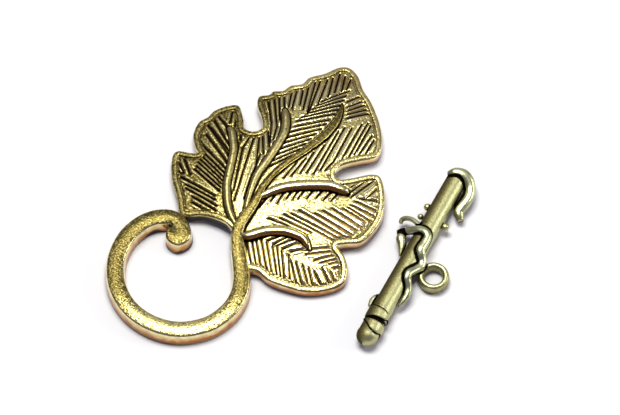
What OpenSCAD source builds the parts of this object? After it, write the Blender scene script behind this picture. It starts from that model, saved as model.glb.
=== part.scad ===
// Leaf toggle clasp: a vine leaf cast in one with its hooked ring, and the loose vine bar that locks through it.
// Both castings lie on a flat surface at z = 0. The middle of the ring's opening is at x = 0, y = 0.

/* [Ring] */
// Width of the ring's opening
ring_open = 14; // [10:0.1:20]
// Width of the ring's band
band_w = 2.6; // [1.8:0.05:3.2]
// Height of the ring's band
band_h = 2.3; // [1.6:0.05:3.2]
// Width of the round bead that ends the hook
bead_d = 3.5; // [2.8:0.05:3.8]
// How far the leaf's root stands outside the band's middle line
root_gap = 0.75; // [0.3:0.05:3]

/* [Leaf] */
// Length of the leaf, from its lowest lobe to its tip
leaf_l = 31.9; // [24:0.1:42]
// Width of the leaf across its lobes
leaf_w = 28.5; // [22:0.25:38]
// Height of the leaf's top at its middle
crown_h = 2.9; // [2.4:0.05:4]
// How far the leaf's top falls from its middle to the tips of its lobes
dome_h = 1.2; // [0.6:0.05:1.5]
// Thickness of the leaf's blade over its hollow back
blade_t = 1; // [0.6:0.05:1.2]
// Height of the leaf's edge
edge_h = 1.6; // [1.25:0.05:1.8]
// Width of the raised rim along the leaf's edge
rim_w = 0.7; // [0.4:0.05:0.9]
// Rise of that rim
rim_h = 0.1; // [0.05:0.05:0.4]
// Rise of the veins above the blade
vein_h = 0.6; // [0.3:0.05:1]
// Width of the thickest vein
vein_w = 1.2; // [0.8:0.05:1.6]
// Rise of the fine ribs between the veins
rib_h = 0.18; // [0.08:0.02:0.3]
// Width of those ribs at their foot
rib_w = 0.45; // [0.3:0.05:0.6]

/* [Back eye] */
// Bore of the plain eye on the leaf's back
back_bore_d = 1; // [0.8:0.05:1.2]
// Wall of metal round that bore
back_wall = 0.4; // [0.3:0.05:0.5]
// Length of that eye along its bore
back_l = 1.6; // [1:0.1:3]

/* [Bar] */
// Length of the bar
bar_l = 28; // [20:0.1:36]
// Diameter of the bar's rod
rod_d = 2.7; // [1.8:0.05:3.2]
// Width of the vine's cord where it is thickest
vine_w = 1.5; // [0.9:0.05:1.8]
// How far the bar's middle lies beside the middle of the leaf
lay_gap = 19.3; // [17:0.1:30]
// Bore of the bar's eye
eye_bore_d = 2.3; // [1.4:0.05:3]
// Width of the wire round that bore
eye_wire = 0.85; // [0.6:0.05:1.2]
// Height of the eye
eye_h = 1.6; // [1.2:0.05:2.2]

/* [Hidden] */
gold = [0.72, 0.62, 0.28];
pale_gold = [0.66, 0.63, 0.42];

// Rows of a table are joined by a smooth curve, with this many steps from one row to the next.
smooth_steps = 2;

function mix(a, b, t) = a + (b - a) * t;
function unit(v) = v / norm(v);
function last(v) = v[len(v) - 1];
function at_end(v, i) = v[max(0, min(len(v) - 1, i))];

// The smooth curve between rows b and c, with a and d as their neighbours.
function curve(a, b, c, d, t) =
    0.5 * (2 * b + (c - a) * t + (2 * a - 5 * b + 4 * c - d) * t * t + (3 * b - a - 3 * c + d) * t * t * t);

function smooth_open(rows, steps) = [
    for (i = [0 : len(rows) - 2], k = [0 : steps - 1])
        curve(at_end(rows, i - 1), rows[i], rows[i + 1], at_end(rows, i + 2), k / steps),
    last(rows)
];

function smooth_closed(rows, steps) = let (n = len(rows)) [
    for (i = [0 : n - 1], k = [0 : steps - 1])
        curve(rows[(i + n - 1) % n], rows[i], rows[(i + 1) % n], rows[(i + 2) % n], k / steps)
];

// Faces between one loop of a skin and the next, for loops of n points.
function skin_faces(loops, n) = [
    for (k = [0 : loops - 2], i = [0 : n - 1])
        let (a = k * n + i, b = k * n + (i + 1) % n)
            each [[a, b + n, b], [a, a + n, b + n]]
];

// A cord or band carried along a path. Each row of the path is
// x, y, height of the section's middle, half its width, its rise above the middle, its drop below the middle.
// Each row of the section is a share of the half width across, and a share of the rise or drop.
module carried(path, section) {
    n = len(section);
    loops = [
        for (i = [0 : len(path) - 1])
            let (
                p = path[i],
                ahead = at_end(path, i + 1) - at_end(path, i - 1),
                dir = unit([ahead[0], ahead[1]])
            )
                [for (s = section) [
                    p[0] + dir[1] * p[3] * s[0],
                    p[1] - dir[0] * p[3] * s[0],
                    p[2] + s[1] * (s[1] > 0 ? p[4] : p[5])
                ]]
    ];
    points = [for (l = loops) each l];
    end = (len(path) - 1) * n;
    polyhedron(
        points,
        concat(
            skin_faces(len(path), n),
            [for (i = [1 : n - 2]) [0, i, i + 1]],
            [for (i = [1 : n - 2]) [end, end + i + 1, end + i]]
        )
    );
}

// A flat topped band with rolled edges and slightly spreading walls, and a round cord.
band_section = [
    [0.8, 1], [0.9, 0.9], [0.98, 0.5], [1.08, -0.2], [1.1, -0.6], [1, -1],
    [-1, -1], [-1.1, -0.6], [-1.08, -0.2], [-0.98, 0.5], [-0.9, 0.9], [-0.8, 1]
];
foot_share = band_section[4][0];
ridge_section = [[0.62, 0.78], [1, 0.1], [1, -1], [-1, -1], [-1, 0.1], [-0.62, 0.78], [0, 1]];
cord_sides = 8;
cord_section = [for (i = [0 : cord_sides - 1]) let (a = 360 * (i + 0.5) / cord_sides) [sin(a), cos(a)]];

// The hooked ring. Angles run round the middle of the opening, from the hook's bead to the leaf's root.
// Columns: angle, reach as a share of the band's middle radius, width as a share of the band, and
// how far the band has climbed from the table to the leaf, from 0 to 1.
ring_r = (ring_open + band_w) / 2;
root_angle = 76.5;
root_r = ring_r + root_gap;
hook_rows = [
    [121.5, 0.88, 0.6, 0],
    [126.5, 0.895, 0.95, 0],
    [134, 0.93, 1, 0],
    [146, 0.985, 0.96, 0],
    [159, 1.015, 0.98, 0],
    [180, 1.01, 1, 0],
    [205, 0.995, 1, 0],
    [230, 0.985, 1, 0],
    [255, 0.985, 1, 0],
    [280, 0.985, 1, 0],
    [305, 1, 1, 0],
    [330, 1.01, 1, 0],
    [352, 1.005, 1, 0],
    [370, 0.985, 0.98, 0],
    [386, 0.95, 0.95, 0.04],
    [403, 0.925, 0.88, 0.2],
    [420, 0.965, 0.78, 0.55],
    [360 + root_angle - 4.5, root_r / ring_r * 0.985, 0.68, 0.85],
    [360 + root_angle, root_r / ring_r * 1.09, 0.6, 1]
];

// The leaf is drawn from its root, where the stem meets it, in hundredths of its width across and in as many
// equal rows along as there are from its lowest lobe to its tip.
rows_along = 102;
root_at = root_r * [cos(root_angle), sin(root_angle)];
function leaf_xy(a, b) = root_at + [a * leaf_w / 100, b * leaf_l / rows_along];

// The leaf's top is part of a ball, whose highest point is over the leaf's middle.
crown_at = leaf_xy(4.5, 30);
dome_r = (pow(leaf_w / 2, 2) + pow(dome_h, 2)) / (2 * dome_h);
function leaf_z(p) = crown_h - dome_r + sqrt(dome_r * dome_r - pow(norm(p - crown_at), 2));

// The outline, lobe by lobe and counter-clockwise: rows of how far across and how far along each point lies.
lobes = [
    [ // lower right
        [7, -5.5], [14.5, -11.8], [21, -10.4], [27, -11], [34.5, -9.5], [43.5, -6.3],
        [51, -0.5], [54.8, 6], [52.5, 12], [47.5, 16], [42.8, 17.6]
    ],
    [ // right
        [45, 20.3], [50, 24.8], [51.2, 32], [50, 40], [45, 48], [38.5, 53.7], [34, 52.5], [28.2, 46]
    ],
    [ // upper, up to its tip
        [24, 42.4], [21, 44.5], [21.5, 49], [26.3, 55], [30.8, 60.4], [29.2, 66.5], [22.8, 73.8],
        [12.8, 80.9], [5, 84.6], [-1.2, 89]
    ],
    [ // upper, down its scalloped side
        [-7, 90.4], [-11.2, 87.8], [-14.2, 81.6], [-18.3, 76.2], [-19, 71.5], [-22.5, 68], [-23.7, 64],
        [-27, 61.5], [-27.5, 59], [-30.5, 56], [-28.5, 52], [-23, 48], [-19.5, 44]
    ],
    [ // left
        [-21.5, 40.5], [-26, 39.8], [-29, 43], [-35, 47.5], [-39.5, 45], [-43, 40], [-43.5, 36],
        [-45.2, 32], [-43.5, 26], [-39.5, 22], [-36.2, 19.8]
    ],
    [ // lower left
        [-39, 18.2], [-44.3, 16.3], [-44.5, 12.5], [-38.5, 4.8], [-30, -2], [-25.5, -6.3],
        [-21.5, -6.5], [-15, -2.5], [-6, -0.5], [0, -1.5]
    ]
];
outline = smooth_closed([for (l = lobes, p = l) leaf_xy(p[0], p[1])], smooth_steps);
foot_w = 1.7 * rim_w;

// A thick blank of the leaf, drawn in from the outline by an inset, and the ball that its top belongs to.
module leaf_blank(inset, low) {
    translate([0, 0, low]) linear_extrude(2 * crown_h) offset(delta = -inset) polygon(outline);
}

module dome(lift) {
    translate([crown_at[0], crown_at[1], crown_h - dome_r + lift]) sphere(r = dome_r, $fn = 160);
}

// The blade inside its raised rim, hollow behind, on a foot that follows the dome up in the notches.
module leaf_blade() {
    difference() {
        intersection() {
            linear_extrude(2 * crown_h) polygon(outline);
            dome(rim_h);
        }
        difference() {
            leaf_blank(rim_w, -1);
            dome(0);
        }
        intersection() {
            leaf_blank(foot_w, -1);
            dome(-blade_t);
        }
        dome(-edge_h);
    }
}

// Veins. Columns: across, along, half width and rise, both as shares of the thickest vein's.
vein_rows = [
    [ // midrib, ending in the upper lobe
        [0.6, -3.5, 1.05, 1], [1.5, 2, 1.02, 1], [1, 9, 1.02, 1], [0.5, 15, 0.9, 1], [-0.7, 21.4, 0.68, 0.9],
        [-0.8, 26.2, 0.62, 0.8], [-0.2, 31, 0.62, 0.8], [1.4, 37.4, 0.7, 0.8], [3.5, 43.8, 0.76, 0.8],
        [4.9, 49.3, 0.83, 0.85], [6, 54.4, 0.88, 0.9], [6.3, 59.8, 0.88, 0.85], [5.8, 64.6, 0.75, 0.75],
        [4.2, 69.4, 0.5, 0.5], [2.4, 72.6, 0.15, 0.2]
    ],
    [ // left, in the upper lobe
        [0.2, 7, 0.5, 0.7], [-1.8, 11.2, 0.55, 0.8], [-3.5, 15, 0.65, 0.85], [-5.3, 19.8, 0.75, 0.9],
        [-6.7, 24.6, 0.83, 0.9], [-7, 31, 0.9, 0.9], [-7.7, 37.4, 0.92, 0.9], [-8.4, 42.2, 0.92, 0.9],
        [-9.5, 47, 0.92, 0.9], [-11.9, 51.2, 0.92, 0.9], [-14.7, 54.4, 0.85, 0.85], [-16.5, 56.4, 0.5, 0.5]
    ],
    [ // left lobe
        [0, 1, 0.6, 0.8], [-4.6, 3.5, 0.72, 0.85], [-8.8, 6.7, 0.78, 0.9], [-12.6, 10.9, 0.83, 0.9],
        [-15.8, 15, 0.83, 0.9], [-18.2, 19.8, 0.83, 0.9], [-20.7, 24.6, 0.83, 0.9], [-23.1, 28.8, 0.87, 0.9],
        [-26.3, 32.3, 0.87, 0.9], [-29.4, 35.2, 0.8, 0.85], [-31.7, 36.3, 0.5, 0.5]
    ],
    [ // right lobe
        [0.8, 17, 0.7, 0.8], [5.6, 24, 0.83, 1.1], [10.9, 29.1, 0.92, 1.25], [17.9, 34.2, 0.96, 1.3],
        [23.1, 37.4, 0.96, 1.3], [27.7, 38.7, 0.92, 1.2], [30.3, 39.1, 0.75, 1], [31.4, 38.9, 0.42, 0.6]
    ],
    [ // lower right lobe
        [1.8, -2.5, 0.6, 0.7], [7.4, -0.3, 0.83, 1.1], [10.9, 3.5, 0.87, 1.2], [14.4, 6.7, 0.87, 1.25],
        [19.6, 9.9, 0.87, 1.2], [24.9, 11.5, 0.83, 1.1], [28.4, 11.8, 0.75, 1], [31.7, 10.6, 0.55, 0.75],
        [34.1, 9.4, 0.2, 0.3]
    ]
];
vein_sink = 0.5;

// Combs of fine ribs. Columns: first rib from and to, last rib from and to, how many.
rib_rows = [
    [[6, 84.5], [5, 79.5], [-8, 84], [2, 74.5], 3],
    [[-9.5, 82], [-1.5, 74], [-18, 70], [-11, 62.5], 4],
    [[-20, 67.5], [-14, 59], [-27, 57.5], [-18.5, 50.5], 3],
    [[-4.5, 69], [2, 79.5], [-7.5, 55.5], [1.5, 66], 3],
    [[-7, 51.5], [1.5, 61.5], [-4, 31], [0, 40.5], 5],
    [[4.5, 75], [7, 80], [9.5, 69.5], [15, 75], 3],
    [[25, 66], [26, 58.5], [11.5, 61], [14.5, 39.5], 4],
    [[9, 54], [10.5, 38], [4.5, 38], [5.5, 30], 3],
    [[-20, 38], [-11.5, 15], [-13, 34], [-5, 13], 3],
    [[-40, 36.5], [-29, 31.5], [-39.5, 25], [-21, 19.5], 4],
    [[-34, 20.5], [-19, 17], [-31, 13.5], [-15.5, 10], 3],
    [[-34.5, 7], [-16.5, 7], [-24, 0.3], [-13.5, 0.3], 3],
    [[29.5, 45], [28.8, 41], [40, 49.5], [39, 43.5], 3],
    [[46, 43], [37, 39], [47.5, 37], [35.5, 35.5], 3],
    [[47, 32.5], [34.5, 32], [41, 18.5], [16, 16.5], 5],
    [[6.5, 22.5], [6.8, 18.5], [26, 36.5], [26, 32.5], 4],
    [[39, 14.5], [32, 8], [49.5, 11.5], [46.5, 8.5], 3],
    [[21, 9], [17, 3], [29, 8.5], [25.5, 3.5], 3],
    [[8, -2.5], [17.5, -9.5], [26, 2.5], [33.5, -5], 5],
    [[30.5, 1.5], [37, -4.5], [45.5, 7], [51, 3.5], 4]
];

module fine_rib(from, to) {
    carried([
        for (t = [0, 0.5, 1])
            let (p = leaf_xy(mix(from[0], to[0], t), mix(from[1], to[1], t)), share = t == 0.5 ? 1 : 0.5)
                [p[0], p[1], leaf_z(p), rib_w / 2 * share, rib_h * share, rib_h]
    ], [[0, 1], [1, -1], [-1, -1]]);
}

// The plain eye under the leaf that takes the strand: a lug grown down from the blade, bored across.
back_at = leaf_xy(3, 45);
back_r = back_bore_d / 2 + back_wall;
back_drop = 0.2;
back_z = leaf_z(back_at) - blade_t - back_bore_d / 2 - back_drop;

module back_lug() {
    translate([back_at[0], back_at[1], back_z])
        rotate([0, 90, 0]) cylinder(h = back_l, r = back_r, center = true, $fn = 24);
    translate([back_at[0] - back_l / 2, back_at[1] - back_r, back_z])
        cube([back_l, 2 * back_r, back_drop + back_bore_d / 2 + blade_t / 2]);
}

module back_bore() {
    translate([back_at[0], back_at[1], back_z])
        rotate([0, 90, 0]) cylinder(h = 1.1 * back_l, d = back_bore_d, center = true, $fn = 24);
}

module hook_ring() {
    climb_top = leaf_z(root_at) + vein_h - band_h;
    climb_foot = leaf_z(root_at) - blade_t;
    carried([
        for (h = smooth_open(hook_rows, smooth_steps))
            let (
                climb = max(0, h[3]),
                top = band_h + climb_top * climb,
                foot = climb_foot * climb
            )
                [
                    on_ring(h)[0], on_ring(h)[1], (top + foot) / 2,
                    band_w / 2 / foot_share * h[2], (top - foot) / 2, (top - foot) / 2
                ]
    ], band_section);
}

// The neck that turns in from the band to the bead, from the bead's middle outwards.
// Columns: angle, reach as a share of the band's middle radius, and width as a share of the band.
neck_rows = [[127.2, 0.63, 1.15], [124.5, 0.75, 1.1], [127.5, 0.87, 1]];
function on_ring(row) = ring_r * row[1] * [cos(row[0]), sin(row[0])];

// The round bead that ends the hook, with a rolled upper edge. It stands a little above the band, and the
// neck lies a little inside both.
proud = 0.08;

module hook_bead() {
    r = bead_d / 2;
    top = band_h + proud;
    translate(on_ring(neck_rows[0])) rotate_extrude($fn = 64) polygon([
        [0, 0], [r * 0.93, 0], [r, top * 0.2], [r * 0.98, top * 0.4], [r * 0.89, top * 0.75],
        [r * 0.82, top * 0.95], [r * 0.74, top], [0, top]
    ]);
    carried([
        for (row = neck_rows)
            let (p = on_ring(row), half_h = band_h / 2 - proud)
                [p[0], p[1], band_h / 2, band_w / 2 / foot_share * row[2], half_h, half_h]
    ], band_section);
}

module leaf_loop() {
    color(gold) difference() {
        union() {
            leaf_blade();
            hook_ring();
            hook_bead();
            for (rows = vein_rows) carried([
                for (v = smooth_open(rows, smooth_steps))
                    let (p = leaf_xy(v[0], v[1]))
                        [p[0], p[1], leaf_z(p), vein_w / 2 * v[2], vein_h * v[3], vein_sink]
            ], ridge_section);
            for (c = rib_rows, i = [0 : c[4] - 1])
                fine_rib(mix(c[0], c[2], i / (c[4] - 1)), mix(c[1], c[3], i / (c[4] - 1)));
            back_lug();
        }
        back_bore();
    }
}

// The bar is drawn along y from its middle, with the rod's axis at axis_h, then laid beside the leaf.
bar_turn = 7.8;
bar_at = [root_at[0] + 0.045 * leaf_w + lay_gap, root_at[1] + 0.317 * leaf_l];
rod_r = rod_d / 2;
wrap_t = 0.2;
axis_h = rod_r + wrap_t;
half_l = bar_l / 2;
eye_r = eye_bore_d / 2 + eye_wire;
eye_gap = 0.2;
eye_at = [rod_r + eye_r + eye_gap, -0.045 * bar_l, eye_h / 2 + 0.1];

// Cords of the vine. Columns: across in shares of the rod's radius, along in hundredths of the bar's length,
// half width as a share of the thickest cord's, and height as a share of the way from the axis to the rod's top.
vine_rows = [
    [ // over the upper end and down into a hook
        [-0.8, 46.9, 0.73, 0.04], [-0.37, 47.8, 0.87, 0.26], [0.27, 47, 0.93, 0.48], [1, 45.4, 0.87, 0.41],
        [1.43, 42.8, 0.87, 0.26], [1.75, 39.6, 0.9, 0.11], [1.82, 36.6, 0.93, 0.04], [1.7, 33.9, 0.9, -0.04],
        [1.58, 31.7, 0.73, -0.11], [1.74, 29.6, 0.67, -0.19], [2, 27.8, 0.65, -0.26], [2.25, 26.3, 0.5, -0.33]
    ],
    [ // across the rod and down its face, past the eye
        [-2.57, 7.4, 0.53, -0.33], [-2.45, 9.7, 0.67, -0.11], [-1.73, 11, 0.69, 0.26], [-0.92, 12, 0.73, 0.63],
        [-0.17, 11.9, 0.77, 0.85], [0.31, 10.1, 0.83, 0.89], [0.49, 7.1, 0.87, 0.89], [0.47, 4.4, 0.87, 0.85],
        [0.69, 1.2, 0.83, 0.78], [1.05, -1.1, 0.77, 0.56], [1.22, -3.4, 0.75, 0.41], [1.02, -5.7, 0.75, 0.56],
        [0.67, -7.9, 0.77, 0.7], [0.58, -10.5, 0.8, 0.78], [0.76, -12.6, 0.8, 0.7], [1.04, -14.8, 0.73, 0.48],
        [1.21, -17, 0.61, 0.26], [1.21, -19.7, 0.51, 0.04], [1.16, -22.6, 0.4, -0.11], [1, -24.8, 0.16, -0.19]
    ],
    [ // small curl on the left
        [-0.88, 13.4, 0.53, 0.63], [-1.43, 14.7, 0.56, 0.41], [-2.08, 15.9, 0.56, 0.11], [-2.6, 15.9, 0.56, -0.11],
        [-2.77, 14.1, 0.47, -0.26]
    ],
    [ // pointed bract below the crossing
        [-2.1, 8.4, 0.5, -0.04], [-1.85, 4.3, 0.82, -0.11], [-1.55, 1.1, 0.67, -0.19], [-1.2, -2.7, 0.25, -0.19]
    ],
    [ // side shoot near the lower wraps
        [-0.95, -23.8, 0.27, -0.04], [-1.25, -25.8, 0.43, -0.04], [-1.38, -28.5, 0.47, -0.04],
        [-1.2, -31.4, 0.4, 0.1]
    ]
];

// Buds on the rod. Columns: across in rod radii, along in hundredths, and radius as a share of the rod's.
bud_rows = [[-1.12, 25.2, 0.33], [-1.15, 19, 0.28], [1.15, 19.3, 0.38]];

// Wraps round the lower end. Columns: along in hundredths, tilt, radius beyond the rod and half width, in wraps.
wrap_rows = [[-33, 0, 0.9, 3.1], [-38.8, 8, 1, 3.5]];

// Half the rod in profile: radius and place along it, from the domed lower end to the blunt upper one.
knob_r = rod_r + 0.25 * wrap_t;
top_roll = 0.35;
rod_top = half_l - 0.75 * vine_w;
rod_profile = concat(
    [[0, -half_l]],
    [for (a = [15 : 15 : 90]) [knob_r * sin(a), -half_l + knob_r * (1 - cos(a))]],
    [
        [rod_r, -half_l + knob_r + wrap_t], [rod_r, rod_top - top_roll],
        [rod_r - 0.3 * top_roll, rod_top - 0.3 * top_roll], [rod_r - top_roll, rod_top], [0, rod_top]
    ]
);

module rod_wrap(row) {
    translate([0, row[0] / 100 * bar_l, axis_h])
        rotate([90, 0, 0]) rotate([0, row[1], 0])
            rotate_extrude($fn = 64) polygon([
                [rod_r * 0.5, -row[3] * wrap_t], [rod_r, -row[3] * wrap_t],
                [rod_r + 0.75 * row[2] * wrap_t, -0.6 * row[3] * wrap_t], [rod_r + row[2] * wrap_t, 0],
                [rod_r + 0.75 * row[2] * wrap_t, 0.6 * row[3] * wrap_t], [rod_r, row[3] * wrap_t],
                [rod_r * 0.5, row[3] * wrap_t]
            ]);
}

module bar_eye() {
    roll = eye_wire * 0.35;
    low = eye_bore_d / 2;
    translate(eye_at) rotate_extrude($fn = 64) polygon([
        [low, -eye_h / 2 + roll], [low + roll, -eye_h / 2], [low + eye_wire - roll, -eye_h / 2],
        [low + eye_wire, -eye_h / 2 + roll], [low + eye_wire, eye_h / 2 - roll],
        [low + eye_wire - roll, eye_h / 2], [low + roll, eye_h / 2], [low, eye_h / 2 - roll]
    ]);
}

module toggle_bar() {
    neck_l = eye_at[0] - eye_bore_d / 2 - eye_wire / 2;
    color(pale_gold) translate([bar_at[0], bar_at[1], 0]) rotate([0, 0, bar_turn]) union() {
        translate([0, 0, axis_h]) rotate([-90, 0, 0]) rotate_extrude($fn = 64) polygon(rod_profile);
        for (row = wrap_rows) rod_wrap(row);
        for (b = bud_rows)
            translate([b[0] * rod_r, b[1] / 100 * bar_l, axis_h])
                rotate([0, 0, b[0] < 0 ? 180 : 0]) sphere(r = b[2] * rod_r, $fn = 32);
        for (rows = vine_rows) carried([
            for (v = smooth_open(rows, smooth_steps))
                [
                    v[0] * rod_r, v[1] / 100 * bar_l, axis_h + v[3] * rod_r,
                    vine_w / 2 * v[2], vine_w / 2 * v[2], vine_w / 2 * v[2]
                ]
        ], cord_section);
        translate([0, eye_at[1], eye_at[2]]) rotate([0, 90, 0]) cylinder(h = neck_l, r = eye_wire * 0.6, $fn = 48);
        bar_eye();
    }
}

leaf_loop();
toggle_bar();
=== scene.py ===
# A leaf toggle clasp, antique gold plated, that lies open on a white table
import math
import bpy
import numpy as np
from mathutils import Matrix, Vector


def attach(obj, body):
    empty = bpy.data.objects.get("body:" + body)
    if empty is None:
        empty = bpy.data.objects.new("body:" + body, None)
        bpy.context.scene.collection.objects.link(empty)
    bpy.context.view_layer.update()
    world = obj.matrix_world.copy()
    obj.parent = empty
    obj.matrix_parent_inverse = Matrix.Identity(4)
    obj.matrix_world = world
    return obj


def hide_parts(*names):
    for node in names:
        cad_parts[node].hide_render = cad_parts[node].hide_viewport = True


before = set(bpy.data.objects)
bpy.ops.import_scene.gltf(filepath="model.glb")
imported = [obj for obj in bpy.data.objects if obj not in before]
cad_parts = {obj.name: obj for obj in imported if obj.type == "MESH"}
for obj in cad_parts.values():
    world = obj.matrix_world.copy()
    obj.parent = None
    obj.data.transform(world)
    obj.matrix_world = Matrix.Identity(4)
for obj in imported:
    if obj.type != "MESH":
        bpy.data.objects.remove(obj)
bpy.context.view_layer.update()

mm = 0.001


# Curves and meshes

# Catmull-Rom curve through the rows, with this many steps from one row to the next.
def smoothRows(rows, steps, closed=False):
    rows = np.array(rows, float)
    n = len(rows)
    last = n if closed else n - 1
    at = np.arange(last * steps + (0 if closed else 1)) / steps
    i = np.minimum(at.astype(int), last - 1)
    t = (at - i)[:, None]
    pick = (lambda k: rows[k % n]) if closed else (lambda k: rows[np.clip(k, 0, n - 1)])
    a, b, c, d = pick(i - 1), pick(i), pick(i + 1), pick(i + 2)
    return 0.5 * (2 * b + (c - a) * t + (2 * a - 5 * b + 4 * c - d) * t ** 2
                  + (3 * b - a - 3 * c + d) * t ** 3)


# Points in mm, faces as index arrays, and three values a point: the first (0 clean, 1 black) holds patina in
# the hollows and painted shade elsewhere, the second holds polish and painted sheen, and the third (1 where
# the gold is brown) holds painted brown shade and warm reflection.
class Shell:
    def __init__(self):
        self.points, self.faces, self.count = [], [], 0
        self.values = {"patinaAndShade": [], "polishAndSheen": [], "warmShade": []}

    def add(self, points, faces, patinaAndShade=0.0, polishAndSheen=0.0, warmShade=0.0):
        points = np.asarray(points, float).reshape(-1, 3)
        self.points.append(points)
        self.faces += [np.asarray(f, int).reshape(-1, np.shape(f)[-1]) + self.count for f in faces if len(f)]
        for key, value in (("patinaAndShade", patinaAndShade), ("polishAndSheen", polishAndSheen), ("warmShade", warmShade)):
            self.values[key].append(np.broadcast_to(value, len(points)))
        self.count += len(points)

    def build(self, name):
        points = np.concatenate(self.points)
        mesh = bpy.data.meshes.new(name)
        mesh.vertices.add(len(points))
        mesh.vertices.foreach_set("co", (points * mm).ravel())
        corners = np.concatenate([f.ravel() for f in self.faces])
        sizes = np.concatenate([np.full(len(f), f.shape[1]) for f in self.faces])
        mesh.loops.add(len(corners))
        mesh.loops.foreach_set("vertex_index", corners)
        mesh.polygons.add(len(sizes))
        mesh.polygons.foreach_set("loop_start", np.concatenate([[0], np.cumsum(sizes)[:-1]]))
        mesh.polygons.foreach_set("use_smooth", np.ones(len(sizes), bool))
        for key, values in self.values.items():
            mesh.attributes.new(key, "FLOAT", "POINT").data.foreach_set("value", np.concatenate(values))
        mesh.update(calc_edges=True)
        mesh.validate()
        piece = bpy.data.objects.new(name, mesh)
        bpy.context.scene.collection.objects.link(piece)
        return piece


# Quads between neighbouring rings of points; the first ring also follows the last where the rings close.
def ringFaces(rings, sides, closedRings=False):
    r = np.arange(rings if closedRings else rings - 1)[:, None]
    s = np.arange(sides)[None, :]
    a, b = r * sides + s, r * sides + (s + 1) % sides
    c, d = ((r + 1) % rings) * sides + (s + 1) % sides, ((r + 1) % rings) * sides + s
    return np.stack([a, b, c, d], -1).reshape(-1, 4)


# The two faces that close a row of rings, one over the first ring and one over the last.
def capFaces(rings, sides):
    return [np.arange(sides)[None, ::-1], (rings - 1) * sides + np.arange(sides)[None, :]]


# Both edges of a band of this half width along a centre line: on its left and on its right.
def edgesOf(line, half):
    ahead = np.gradient(line, axis=0)
    ahead /= np.linalg.norm(ahead, axis=1)[:, None]
    across = np.stack([ahead[:, 1], -ahead[:, 0]], 1) * np.asarray(half)[:, None]
    return line - across, line + across


# A section carried between two edges. Its rows, going clockwise, are the share across, from -1 at the left
# edge to 1 at the right one, and the share of the way from the foot, 0, to the top, 1. There is one section,
# or one for each station.
def carried(left, right, foot, top, section):
    section = np.broadcast_to(section, (len(left), *np.shape(section)[-2:]))
    across, up = section[..., 0, None], section[..., 1]
    flat = (left + right)[:, None] / 2 + (right - left)[:, None] / 2 * across
    z = foot[:, None] + (top - foot)[:, None] * up
    points = np.concatenate([flat, z[..., None]], -1)
    n, sides = points.shape[:2]
    return points.reshape(-1, 3), [ringFaces(n, sides)[:, ::-1]] + [f[:, ::-1] for f in capFaces(n, sides)]


# A profile of radius and height turned about a vertical axis: x and y are the radius times the cosine and the
# sine of the turn.
def turned(profile, centre, sides):
    profile = np.asarray(profile, float)
    turn = np.linspace(0, 2 * np.pi, sides, endpoint=False)
    r, h = profile[:, 0, None], profile[:, 1, None]
    x, y = centre[0] + r * np.cos(turn), centre[1] + r * np.sin(turn)
    points = np.stack([x, y, centre[2] + h + 0 * turn], -1)
    return points.reshape(-1, 3), ringFaces(len(profile), sides)


# A round section: the sine of the turn across and its cosine upwards, both to the power of 1 over the
# boxiness, so that over 1 it comes nearer to a square.
def roundSection(sides, boxiness=1.0):
    turn = 2 * np.pi * (np.arange(sides) + 0.5) / sides
    s, c = np.sin(turn), np.cos(turn)
    power = 1 / boxiness
    return np.stack([np.sign(s) * np.abs(s) ** power, 0.5 + 0.5 * np.sign(c) * np.abs(c) ** power], 1)


# A whole section from its right half, which runs from the middle of the top to the middle of the foot: the
# rows between those two come again mirrored.
def bothSides(half):
    half = np.array(half, float)
    left = half[-2:0:-1].copy()
    left[:, 0] *= -1
    return np.vstack([half, left])


# Distance from each point to the nearest point of a line, and the index of that point.
def nearest(points, line, chunk=40000):
    gap, index = [], []
    for start in range(0, len(points), chunk):
        d = np.linalg.norm(points[start:start + chunk, None] - line[None], axis=2)
        index.append(d.argmin(1))
        gap.append(d.min(1))
    return np.concatenate(gap), np.concatenate(index)


# Falls from 1 at or below start to 0 at or above end.
def fade(value, start, end):
    return np.clip((end - value) / (end - start), 0, 1)


# The leaf and its ring, in mm

leaf = {
    "width": 28.5, "length": 31.9, "rowsAlong": 102, "crown": 2.9, "domeDrop": 1.2,
    # the blade, and the coarse cells that its grid is made of, each split this many times
    "blade": 1.0, "edge": 1.6, "pitch": 0.38, "split": 4, "bladeInset": 0.42, "swell": 0.12, "swellOver": 4,
    "bladeDrop": 0.05,
    # the relief on it: the ridges' middle and spread are in widths of a groove, and a margin is free of both
    "grooveDepth": 0.2, "grooveWidth": 0.13, "ridgeRise": 0.09, "ridgeMiddle": 2.6, "ridgeSpread": 1.3,
    "margin": 0.3, "rimGutter": 0.08, "rimGutterIn": 0.08, "rimGutterWidth": 0.28, "veinGutter": 0.16,
    "veinGutterWidth": 0.32,
    # the rim and the veins
    "rimWidth": 0.75, "rimRise": 0.1, "rimInset": 0.015, "veinWidth": 1.2, "veinRise": 0.6, "veinSink": 0.45,
}
ring = {"open": 14.0, "bandWidth": 2.59, "bandHeight": 2.3, "rootGap": 0.75, "rootAngle": 76.5}
ringR = (ring["open"] + ring["bandWidth"]) / 2
rootR = ringR + ring["rootGap"]
rootTurn = math.radians(ring["rootAngle"])
rootAt = rootR * np.array([math.cos(rootTurn), math.sin(rootTurn)])


# Places on the leaf count from its root, in hundredths of its width and in 102nds of its length.
def leafXy(rows):
    rows = np.asarray(rows, float)
    return rootAt + rows[..., :2] * (leaf["width"] / 100, leaf["length"] / leaf["rowsAlong"])


crownAt = leafXy([4.5, 30])
domeR = ((leaf["width"] / 2) ** 2 + leaf["domeDrop"] ** 2) / (2 * leaf["domeDrop"])


# Height of the leaf's top: a large ball's, which is highest at the leaf's crown.
def leafZ(p):
    far = np.linalg.norm(np.asarray(p)[..., :2] - crownAt, axis=-1)
    return leaf["crown"] - domeR + np.sqrt(domeR ** 2 - far ** 2)


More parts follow.
